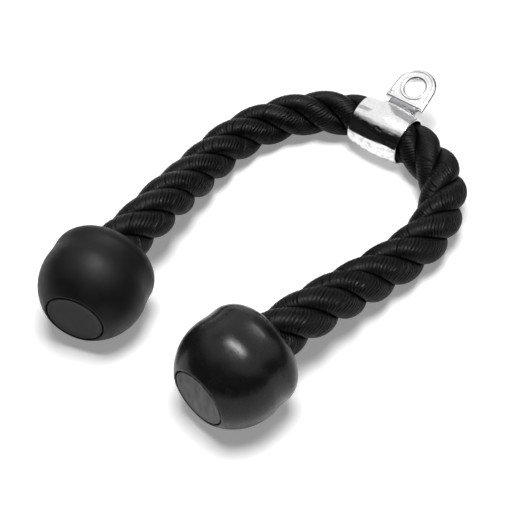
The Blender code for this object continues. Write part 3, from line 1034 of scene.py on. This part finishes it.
@dataclass(frozen=True)
class EyeSleeve:
    """The chromed tube that holds the rope's middle, and the forged eye welded along it."""

    radius: float = 0.0187
    swell: float = 0.0023
    lip: float = 0.00072
    steps: int = 224
    rows: int = 80
    # The bore's wall needs only every fourth row.
    bore_rows: int = 4
    lip_steps: int = 5
    dents: tuple[Dent, ...] = (
        Dent(0.0030, 229.0, 0.0011, 0.0016, 0.00016, 0.5),
        Dent(0.0060, 231.0, 0.0008, 0.0008, 0.00022, 0.3),
    )
    tilt_deg: float = 25.0
    eye_shift: float = 0.0011
    thickness: float = 0.0065
    standoff: float = 0.0041
    base_half: float = 0.0173
    crown: float = 0.0164
    hole_rise: float = 0.0159
    hole_radius: float = 0.00775
    hole_flare: float = 0.0021
    edge_round: float = 0.0024
    edge_steps: int = 7
    line_steps: int = 8
    corner_steps: int = 6
    crown_steps: int = 18
    corner_round: float = 0.0011
    corner_least: float = 0.00015
    crease_deg: float = 50.0
    # The face lies a little lower than its border and than the ring round the hole.
    border_width: float = 0.0003
    border_step: float = 0.0003
    ring_width: float = 0.0010
    # Two rows of points on the face, as shares of the way from its border to that ring.
    face_shares: Point = (0.35, 0.7)
    foot_shoulder: float = 0.0050
    foot_inset: float = 0.0005
    # The weld: how far round the sleeve it reaches, how deep it and the plate overlap, how its
    # ends run out, and the size, the run and the start of the ripples along it.
    weld_toe_deg: float = 24.0
    weld_sink: float = 0.0004
    weld_into_plate: float = 0.0012
    weld_bend: Point = (0.0004, 0.0003)
    weld_run_out: float = 0.0035
    weld_least: float = 0.12
    weld_ripples: tuple[Place, ...] = ((0.05, 0.0009, 0.0), (0.04, 0.0023, 1.0))
    weld_rows: int = 40
    flank_points: int = 9
    seat_points: int = 7

    @property
    def belly(self) -> float:
        """The sleeve's radius in its middle, where it is widest."""
        return self.radius + self.swell

    def side(self, radius: float, along: float) -> float:
        """The radius of the sleeve's side at a distance from its middle."""
        return radius + self.swell * max(0.0, 1 - (along / (SLEEVE_LENGTH / 2 - self.lip)) ** 2)

    def tube(self) -> Mesh:
        """The sleeve's tube, pressed down at its mouths, with rounded lips.

        Returns:
            The mesh, in its place.
        """
        lip = (self.lip, self.lip)
        outer, inner = self.radius - self.lip, BORE + self.lip
        end = SLEEVE_LENGTH / 2 - self.lip
        heights = [end - 2 * end * i / self.rows for i in range(1, self.rows)]
        outline = [
            *arc((inner, end), lip, 180, 90, self.lip_steps),
            *arc((outer, end), lip, 90, 0, self.lip_steps),
            *[(self.side(self.radius, height), height) for height in heights],
            *arc((outer, -end), lip, 360, 270, self.lip_steps),
            *arc((inner, -end), lip, 270, 180, self.lip_steps),
            *[(self.side(BORE, height), height) for height in heights[:: -self.bore_rows]],
        ]
        place = Matrix.Translation(SLEEVE_CENTRE) @ Matrix.Rotation(math.pi / 2, 4, "Y")
        return turned("sleeve_shell", outline, self.steps, place, self.dents)

    def plate_place(self) -> Matrix:
        """Where the eye's frame lies: X along the sleeve, Y through the plate, Z to the crown."""
        lean = Matrix.Rotation(math.radians(self.tilt_deg - 90), 4, "X")
        return Matrix.Translation(Vector(SLEEVE_CENTRE) + Vector((self.eye_shift, 0, 0))) @ lean

    def tombstone(self, inset: float) -> np.ndarray:
        """The eye's outline, drawn in by some distance, always with the same number of points.

        Args:
            inset: how far inside the true outline it runs.

        Returns:
            The points in the plate's plane, from the middle of the base and round.
        """
        base = self.belly + self.standoff + inset
        hole = self.belly + self.standoff + self.hole_rise
        crown = self.crown - inset
        full = math.atan2(-self.hole_rise, self.base_half) + math.acos(
            self.crown / math.hypot(self.hole_rise, self.base_half)
        )
        side_way = Vector((-math.sin(full), math.cos(full)))
        touch = Vector((0.0, hole)) + crown * Vector((math.cos(full), math.sin(full)))
        corner = touch + side_way * ((base - touch.y) / side_way.y)
        bend = max(self.corner_round - inset, self.corner_least)
        low = corner.x - bend * math.tan(math.atan2(side_way.y, side_way.x) / 2)
        count = self.line_steps
        points: list[Point] = [(low * i / count, base) for i in range(count)]
        points += arc((low, base + bend), (bend, bend), -90, math.degrees(full), self.corner_steps)
        start = Vector(points[-1])
        points += [tuple(start.lerp(touch, i / count)) for i in range(1, count)]
        points += arc((0.0, hole), (crown, crown), math.degrees(full), 90, self.crown_steps)
        right = np.array(points)
        left = right[1:-1][::-1] * np.array((-1.0, 1.0))
        return np.vstack([right, left])

    def plate(self) -> Mesh:
        """The eye plate with its rounded edge and its flared hole.

        Returns:
            The mesh, in its place.
        """
        face, rim, flare = self.thickness / 2, self.edge_round, self.hole_flare
        border, step = self.border_width, self.border_step
        quarter = [math.pi / 2 * i / self.edge_steps for i in range(self.edge_steps + 1)]
        hole = np.array((0.0, self.belly + self.standoff + self.hole_rise))
        inner = self.tombstone(rim)
        toward = inner - hole
        toward /= np.linalg.norm(toward, axis=1)[:, None]
        ring = hole + toward * (self.hole_radius + flare + self.ring_width)
        sunk = inner - toward * 2 * step

        loops: list[tuple[np.ndarray, float]] = []
        for a in quarter:
            loops.append((self.tombstone(rim * (1 - math.cos(a))), face - rim * (1 - math.sin(a))))
        loops.append((inner - toward * border, face))
        loops.append((inner - toward * (border + step), face - step))
        for share in self.face_shares:
            loops.append((sunk * (1 - share) + ring * share, face - step))
        loops.append((ring + toward * step, face - step))
        loops.append((ring, face))
        for a in quarter:
            radius = self.hole_radius + flare * (1 - math.sin(a))
            loops.append((hole + toward * radius, face - flare * (1 - math.cos(a))))
        back = [(loop, -height) for loop, height in loops[::-1]]
        grid = [[(x, height, z) for x, z in loop] for loop, height in [*loops, *back]]
        bm = weave(np.array(grid), wrap_rows=True, wrap_columns=True)
        mesh = closed("eye_plate_forged", bm, self.crease_deg)
        mesh.transform(self.plate_place())
        return mesh

    def weld(self) -> Mesh:
        """The foot under the plate with the hollow weld that runs down to the sleeve each side.

        Returns:
            The mesh, in its place.
        """
        top = self.belly + self.standoff + self.weld_into_plate
        half = self.thickness / 2 - self.foot_inset
        long_half = self.base_half - self.foot_shoulder
        rows = []
        for x in np.linspace(-long_half, long_half, self.weld_rows + 1):
            seat = self.side(self.radius, x + self.eye_shift)
            sink = seat - self.weld_sink
            left = max(0.0, 1 - (long_half - abs(x)) / self.weld_run_out)
            fill = max(math.sqrt(max(0.0, 1 - left**2)), self.weld_least)
            waves = [size * math.sin(x / run + start) for size, run, start in self.weld_ripples]
            toe = math.radians(self.weld_toe_deg) * fill * (1 + sum(waves))
            thick = half * fill
            start = Vector((seat * math.sin(toe), seat * math.cos(toe)))
            bend = Vector((thick + self.weld_bend[0], seat + self.weld_bend[1]))
            end = Vector((thick, top))
            flank = [
                start * (1 - t) ** 2 + bend * (2 * t * (1 - t)) + end * t**2
                for t in np.linspace(0, 1, self.flank_points)
            ]
            other = [Vector((-point.x, point.y)) for point in flank[::-1]]
            turns = np.linspace(-toe, toe, self.seat_points)
            under = [Vector((sink * math.sin(turn), sink * math.cos(turn))) for turn in turns]
            rows.append([(x, point.x, point.y) for point in (*flank, *other, *under)])
        mesh = closed("eye_weld_bead", weave(np.array(rows), wrap_columns=True), self.crease_deg)
        mesh.transform(self.plate_place())
        return mesh

    def build(self, finish: Material, bead: Material) -> None:
        """Builds the sleeve, the eye and its weld.

        Args:
            finish: the chrome.
            bead: the duller chrome on the weld, painted darker as shade under the plate.
        """
        shell = show("sleeve_shell", self.tube(), finish)
        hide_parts("sleeve")
        plate = show("eye_plate_forged", self.plate(), finish)
        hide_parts("eye_plate")
        weld = show("eye_weld_bead", self.weld(), bead)
        for piece in (shell, plate, weld):
            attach(piece, "sleeve_body")


# Rubber ends


# Two short creases where the right end's shoulder was squeezed.
CREASES: Mapping[Side, tuple[Dent, ...]] = {
    Side.LEFT: (),
    Side.RIGHT: (
        Dent(0.0444, 82.0, 0.0016, 0.0005, 0.0005, 0.1),
        Dent(0.0449, 88.0, 0.0012, 0.0005, 0.0005, 0.25),
    ),
}


@dataclass(frozen=True)
class RubberEnd:
    """One rubber end with its cap, turned on the rope's own axis."""

    run: RopeRun
    radius: float = 0.0352
    face_radius: float = 0.0205
    pocket_radius: float = 0.0195
    pocket_depth: float = 0.0220
    # The pocket's wall has points at these heights too.
    pocket_rows: Point = (0.004, 0.001)
    # The ball starts this far above the face's rim, so that the two don't cross.
    ball_start_deg: float = 0.6
    ball_steps: int = 30
    waist_dip: float = 0.0005
    waist_hollow: float = 0.0003
    waist_steps: int = 16
    shoulder_length: float = 0.0140
    shoulder_share: float = 0.88
    shoulder_steps: int = 44
    mouth_round: float = 0.0010
    mouth_steps: int = 5
    rim_round: float = 0.0007
    rim_end_deg: float = 285.0
    rim_steps: int = 6
    cap_radius: float = 0.0192
    cap_round: float = 0.0009
    cap_start_deg: float = -100.0
    cap_steps: int = 8
    cap_flat_from_rim: float = 0.0012
    cap_dish: float = 0.00035
    # The face's points, as shares of its flat part's radius and of the dish.
    cap_face: tuple[Point, ...] = ((0.0, 1.0), (0.4, 1.0), (0.8, 0.9), (1.0, 0.5))
    # The heights between which the cap widens from its drawn-in rim to its skirt.
    cap_widening: Point = (0.004, 0.005)
    cap_depth: float = 0.0075
    cap_skirt: float = 0.0016
    cap_thickness: float = 0.0026
    # The cap's skirt fits the pocket, and its rim draws in so far that a dark groove shows.
    cap_draw_in: float = 0.0004
    steps: int = 216

    def outline(self) -> list[Point]:
        """The rubber's section, from the pocket's edge round the outside to the bore.

        Returns:
            The (radius, height) points of a closed ring.
        """
        ball = math.sqrt(self.radius**2 - self.face_radius**2)
        start_deg = self.ball_start_deg - math.degrees(math.atan2(ball, self.face_radius))
        shoulder = END_LENGTH - self.shoulder_length
        side = self.radius - self.waist_dip
        lip = BORE + self.mouth_round
        depth = (side - lip) * self.shoulder_share
        rim, mouth = (self.rim_round, self.rim_round), (self.mouth_round, self.mouth_round)
        edge = self.pocket_radius + self.rim_round
        bend = (depth, self.shoulder_length)
        waist = []
        for i in range(1, self.waist_steps):
            t = i / self.waist_steps
            hollow = self.waist_hollow * math.sin(math.pi * t)
            dip = self.waist_dip * (3 * t**2 - 2 * t**3) + hollow
            waist.append((self.radius - dip, ball + (shoulder - ball) * t))
        return [
            (self.pocket_radius, self.pocket_depth),
            *[(self.pocket_radius, height) for height in self.pocket_rows],
            *arc((edge, self.rim_round), rim, 180, self.rim_end_deg, self.rim_steps),
            *arc((0, ball), (self.radius, self.radius), start_deg, 0, self.ball_steps),
            *waist,
            *arc((side - depth, shoulder), bend, 0, 90, self.shoulder_steps),
            *arc((lip, END_LENGTH - self.mouth_round), mouth, 90, 180, self.mouth_steps),
            (BORE, self.pocket_depth),
        ]

    def cap_outline(self) -> list[Point]:
        """The cap's section: a faintly dished face, a round rim and a short skirt.

        Returns:
            The (radius, height) points from axis to axis.
        """
        top = self.cap_radius - self.cap_draw_in
        bend = top - self.cap_round
        flat = bend - self.cap_flat_from_rim
        inner = self.cap_radius - self.cap_skirt
        edge = (self.cap_round, self.cap_round)
        low, high = self.cap_widening
        return [
            *[(flat * out, self.cap_dish * rise) for out, rise in self.cap_face],
            *arc((bend, self.cap_round), edge, self.cap_start_deg, 0, self.cap_steps),
            (top, low),
            (self.cap_radius, high),
            (self.cap_radius, self.cap_depth),
            (inner, self.cap_depth),
            (inner, self.cap_thickness),
            (0.0, self.cap_thickness),
        ]

    def build(self, side: Side, rubber: Material, cap: Material) -> None:
        """Builds one rubber end and its cap.

        Args:
            side: which end.
            rubber: the rubber's material.
            cap: the cap's material.
        """
        place = self.run.end_place(side)
        names = (f"rubber_grip_{side.word}", f"cap_disc_{side.word}")
        body = turned(names[0], self.outline(), self.steps, place, CREASES[side])
        disc = turned(names[1], self.cap_outline(), self.steps, place, on_axis=True)
        grip = show(names[0], body, rubber)
        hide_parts(f"rubber_end_{side.word}")
        plug = show(names[1], disc, cap)
        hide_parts(f"end_cap_{side.word}")
        for piece in (grip, plug):
            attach(piece, f"end_{side.word}")


# Floor, lights and camera


@dataclass(frozen=True)
class Lamp:
    """A soft lamp: where it hangs, its width, its depth, its power and what it is for."""

    name: str
    at: Place
    width: float
    depth: float
    watts: float
    lights: bool = True
    shines: bool = True
    turn_deg: float = 0.0


@dataclass(frozen=True)
class Card:
    """A dark card beside the set, seen only in gloss: its middle, size and where it faces."""

    name: str
    at: Place
    width: float
    height: float
    facing_deg: float


@dataclass(frozen=True)
class Screen:
    """A bent screen far round the set, seen only in gloss, as the camera's room is.

    Its top edge goes through pairs of azimuth and elevation in degrees, where azimuth 0 is the
    front and 90 the right. Its lower edge is level, and its upper part fades into the white above.
    """

    name: str
    top: tuple[Point, ...]
    tone: str
    fade: float = 0.2
    low_deg: float = 0.0
    distance: float = 2.6
    step_deg: float = 3.0
    rows: int = 8
    fold: float = 1 / 2.2
    # How far the folds move the fading edge, as a share of the fade.
    fold_share: float = 0.6

    def mesh(self) -> Mesh:
        """The screen's sheet, with its height from 0 to 1 as the attribute "rise".

        Returns:
            The mesh.
        """
        turns, tops = np.array(self.top).T
        count = max(2, int((turns[-1] - turns[0]) / self.step_deg))
        turn = np.linspace(turns[0], turns[-1], count + 1)
        edge = np.radians(np.interp(turn, turns, tops))
        low = math.radians(self.low_deg)
        rise = np.repeat(np.linspace(0.0, 1.0, self.rows + 1)[:, None], count + 1, axis=1)
        lift = low + rise * (edge - low)
        turn = np.radians(turn)
        ways = (np.sin(turn) * np.cos(lift), -np.cos(turn) * np.cos(lift), np.sin(lift))
        bm = weave(np.stack(ways, axis=-1) * self.distance, layer="rise", values=rise)
        mesh = bpy.data.meshes.new(self.name)
        bm.to_mesh(mesh)
        bm.free()
        return mesh

    def finish(self) -> Material:
        """The screen's own even tone, fading to white with a blotchy edge.

        Returns:
            The material.
        """
        made = bpy.data.materials.new(f"{self.name}_cloth")
        tree = bare_tree(made)
        rise = add_node(tree, "ShaderNodeAttribute", attribute_name="rise").outputs["Fac"]
        folds = noise(tree, own_place(tree), self.fold, detail=3.0)
        reach = self.fold_share * self.fade
        uneven = calculate(tree, "MULTIPLY_ADD", folds, 2 * reach, -reach)
        share = map_range(tree, calculate(tree, "ADD", rise, uneven), 1.0 - self.fade, 1.0)
        colour = mix(tree, share, self.tone, WHITE)
        glow = add_node(tree, "ShaderNodeEmission", {"Color": colour, "Strength": 1.0})
        add_node(tree, "ShaderNodeOutputMaterial", {"Surface": glow})
        return made


def aim(thing: Object, target: Sequence[float]) -> None:
    """Turns a lamp or camera to look at a point.

    Args:
        thing: the lamp or camera, already in its place.
        target: the point.
    """
    way = Vector(target) - thing.location
    thing.rotation_mode = "QUATERNION"
    thing.rotation_quaternion = way.to_track_quat("-Z", "Y")


def only_in_gloss(thing: Object) -> None:
    """Hides a card or screen from the camera and from soft light, but not from gloss."""
    thing.visible_camera = thing.visible_diffuse = thing.visible_shadow = False


def seen_directly(tree: NodeTree) -> Node:
    """Finds the rays that show the background: camera, glossy and transmission rays.

    Args:
        tree: the node tree.

    Returns:
        A node that is 1 for those rays and 0 for others.
    """
    rays = add_node(tree, "ShaderNodeLightPath").outputs
    gloss = calculate(tree, "MAXIMUM", rays["Is Camera Ray"], rays["Is Glossy Ray"])
    return calculate(tree, "MAXIMUM", gloss, rays["Is Transmission Ray"])


def sheet(name: str, width: float, height: float, place: Matrix) -> Object:
    """A flat sheet that belongs to the set and not to the object.

    Args:
        name: its name.
        width: its width.
        height: its other side.
        place: where it lies.

    Returns:
        The sheet's object.
    """
    mesh = bpy.data.meshes.new(name)
    half, tall = width / 2, height / 2
    corners = [(-half, -tall, 0), (half, -tall, 0), (half, tall, 0), (-half, tall, 0)]
    mesh.from_pydata(corners, [], [(0, 1, 2, 3)])
    mesh.transform(place)
    made = add_object(name, mesh)
    return made


@dataclass(frozen=True)
class Studio:
    """The pale floor, the soft lamps, the screens, the cards and the camera of the photograph."""

    camera_at: Place = (0.2793, -0.3716, 0.5029)
    camera_to: Place = (-0.0043, -0.0288, 0.0)
    lens: float = 66.8
    sensor: float = 36.0
    floor_half: float = 6.0
    floor_colour: str = "#f8f8f8"
    # The floor glows a little near the object, and as white as the world further away.
    floor_lift: float = 0.27
    lift_from: float = 0.30
    lift_to: float = 1.0
    world_light: float = 0.05
    world_seen: float = 1.0
    lamp_target: Place = (0.0, 0.0, 0.02)
    lamps: tuple[Lamp, ...] = (
        Lamp("overhead softbox", (0.066, -0.080, 1.28), 0.50, 0.50, 15.6, shines=False),
        Lamp("strip light", (0.060, 0.100, 1.28), 0.84, 0.12, 17.5, lights=False, turn_deg=30.0),
    )
    screens: tuple[Screen, ...] = (
        Screen(
            "front_screen", ((-95, 30), (-67, 48), (-30, 62), (-3, 75), (36, 69)), "#161616", 0.4
        ),
        Screen("right_screen", ((36, 69), (70, 44), (100, 32), (145, 34)), "#1c1c1c", 0.3),
        Screen("back_right_screen", ((145, 58), (184, 60)), "#202020", 0.3),
        Screen("back_screen", ((178, 54), (203, 54)), "#b4b4b6", 0.06),
        Screen("left_screen", ((233, 18), (265, 24)), "#8c8c8c"),
        Screen("left_high_screen", ((245, 56), (268, 58)), "#bcbcbc", 0.3, low_deg=42.0),
    )
    card_finish: Finish = Finish("black_card_matt", "#101010", 0.9)
    cards: tuple[Card, ...] = (
        Card("low_card_between_the_arms", (-0.0225, 0.0430, 0.0240), 0.083, 0.044, 34.7),
        Card("low_card_on_the_right", (0.0180, 0.0300, 0.0240), 0.054, 0.044, 140.9),
    )

    def place_camera(self) -> None:
        """Makes the camera at the photograph's viewing angle."""
        data = bpy.data.cameras.new("photo camera")
        data.lens = self.lens
        data.sensor_width = self.sensor
        camera = add_object("photo camera", data)
        camera.location = self.camera_at
        aim(camera, self.camera_to)
        bpy.context.scene.camera = camera

    def lay_floor(self) -> None:
        """Lays the white floor, which keeps the object's shadow and stays white far away."""
        floor = sheet("floor", 2 * self.floor_half, 2 * self.floor_half, Matrix.Identity(4))
        made = bpy.data.materials.new("white_seamless_paper_matt")
        tree = bare_tree(made)
        paper = add_node(tree, "ShaderNodeBsdfDiffuse", {"Color": linear(self.floor_colour)})
        away = vector(tree, "LENGTH", own_place(tree)).outputs["Value"]
        strength = map_range(tree, away, self.lift_from, self.lift_to, self.floor_lift, 1.0)
        lift = calculate(tree, "MULTIPLY", seen_directly(tree), strength)
        glow = add_node(tree, "ShaderNodeEmission", {"Color": linear(WHITE), "Strength": lift})
        both = add_node(tree, "ShaderNodeAddShader", {0: paper, 1: glow})
        add_node(tree, "ShaderNodeOutputMaterial", {"Surface": both})
        floor.data.materials.append(made)

    def light_world(self) -> None:
        """Makes the world: white where it is seen, and a low even light elsewhere."""
        world = bpy.data.worlds.new("studio")
        tree = bare_tree(world)
        levels = {0: seen_directly(tree), 2: self.world_light, 3: self.world_seen}
        strength = add_node(tree, "ShaderNodeMix", levels, data_type="FLOAT")
        inputs = {"Color": linear(WHITE), "Strength": strength}
        back = add_node(tree, "ShaderNodeBackground", inputs)
        add_node(tree, "ShaderNodeOutputWorld", {"Surface": back})
        bpy.context.scene.world = world

    def hang_lamps(self) -> None:
        """Hangs the soft lamps: one lights the set and the other shows in gloss."""
        for lamp in self.lamps:
            data = bpy.data.lights.new(lamp.name, "AREA")
            data.shape = "RECTANGLE"
            data.size, data.size_y = lamp.width, lamp.depth
            data.energy = lamp.watts
            made = add_object(lamp.name, data)
            made.location = lamp.at
            made.visible_camera = False
            made.visible_diffuse = lamp.lights
            made.visible_glossy = lamp.shines
            aim(made, self.lamp_target)
            turn = Matrix.Rotation(math.radians(lamp.turn_deg), 3, "Z").to_quaternion()
            made.rotation_quaternion = made.rotation_quaternion @ turn

    def hang_screens(self) -> None:
        """Hangs the bent screens round the set."""
        for screen in self.screens:
            made = add_object(screen.name, screen.mesh())
            made.data.materials.append(screen.finish())
            only_in_gloss(made)

    def stand_cards(self) -> None:
        """Stands the dark cards round the set."""
        finish = self.card_finish.build()
        for card in self.cards:
            facing = math.radians(card.facing_deg)
            way = Vector((math.cos(facing), math.sin(facing), 0.0))
            turn = way.to_track_quat("Z", "Y").to_matrix().to_4x4()
            place = Matrix.Translation(card.at) @ turn
            made = sheet(card.name, card.width, card.height, place)
            made.data.materials.append(finish)
            only_in_gloss(made)

    def build(self) -> None:
        """Sets up everything round the object but the camera."""
        self.lay_floor()
        self.light_world()
        self.hang_lamps()
        self.hang_screens()
        self.stand_cards()
        bpy.context.scene.view_settings.view_transform = "Standard"


# Assembly


def dress_hidden_parts(zinc: Material) -> None:
    """Gives the ferrules and washers inside the rubber ends their zinc.

    Args:
        zinc: the material.
    """
    for side in Side:
        for part in ("rope_ferrule", "end_washer"):
            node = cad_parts[f"{part}_{side.word}"]
            node.data.materials.clear()
            node.data.materials.append(zinc)
            log.info("node %s: %s", node.name, zinc.name)


def main() -> None:
    """Builds the set, the rope, the sleeve with its eye and the two rubber ends."""
    studio = Studio()
    studio.place_camera()
    run = RopeRun()
    rope = LaidRope(run)
    yarn = NylonYarn().build()
    tree = rope.laying_tree()
    for side in Side:
        rope.build(side, tree, yarn)
    # The weld's chrome and haze are painted darker than the sleeve's, as painted shade under the eye plate.
    bead = ChromePlate(
        "chrome_plate_thin_over_weld", colour="#a2a3a6", roughness=0.32, haze="#3c3d40"
    )
    EyeSleeve().build(ChromePlate().build(), bead.build())
    # The right end's rubber is painted a shade lighter than the left's, as a painted reflection of the
    # brighter floor; its smoother gloss is the rubber's own.
    worn_rubber = MouldedRubber(
        "carbon_black_rubber_worn_smooth",
        smoothest=0.2,
        dullest=0.32,
        shine=0.25,
        deep="#101011",
        bloomed="#181819",
    )
    # The right cap is the same plastic painted lighter, as a painted reflection of the brighter floor, with
    # its scuffs.
    lighter_right_cap = CapPlastic("polypropylene_scuffed_grey", colour="#0c0c0d", light="#6c6c6e")
    finishes = {Side.LEFT: (MouldedRubber(), CapPlastic()), Side.RIGHT: (worn_rubber, lighter_right_cap)}
    for side, (rubber, cap) in finishes.items():
        RubberEnd(run).build(side, rubber.build(), cap.build())
    dress_hidden_parts(ZincPlate().build())
    studio.build()


if __name__ == "__main__":
    main()
